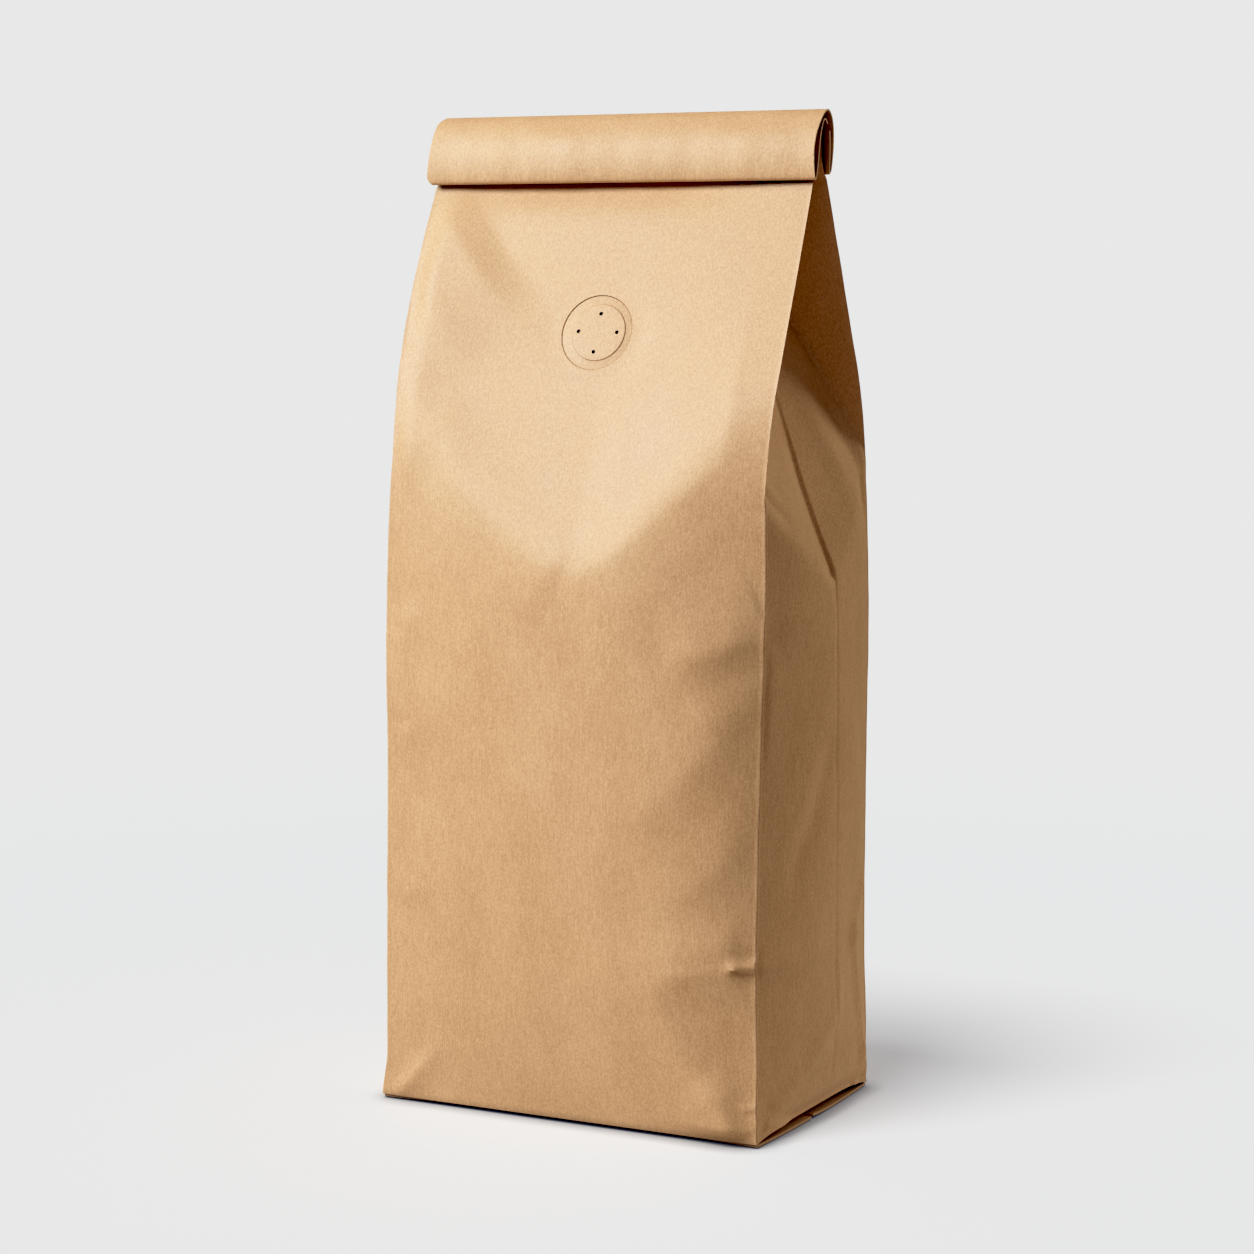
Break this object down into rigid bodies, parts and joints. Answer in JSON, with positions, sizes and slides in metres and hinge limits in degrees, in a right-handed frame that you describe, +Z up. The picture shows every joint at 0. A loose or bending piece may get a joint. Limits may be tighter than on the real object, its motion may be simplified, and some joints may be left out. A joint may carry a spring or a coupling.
{
  "type": "coffee bag",
  "caption": "Filled side-gusset paper coffee bag with a block bottom, a rolled-down top and a round degassing valve in its front panel.",
  "frame": {"origin": "on the table, at the middle of the bag's bounding box", "axes": "+Z up along the bag's height, -Y out of the front panel with the valve, +X along the rolled top"},
  "size_m": [0.1406, 0.0992, 0.309],
  "materials": {
    "kraft_paper": "plain unbleached brown kraft paper, fine fibre grain, faint satin, soft creases",
    "valve_face": "the same kraft paper pressed over the valve's round plate, with four pinholes"
  },
  "bodies": {
    "root": {"bag": "kraft_paper", "valve": "valve_face"}
  },
  "joints": []
}
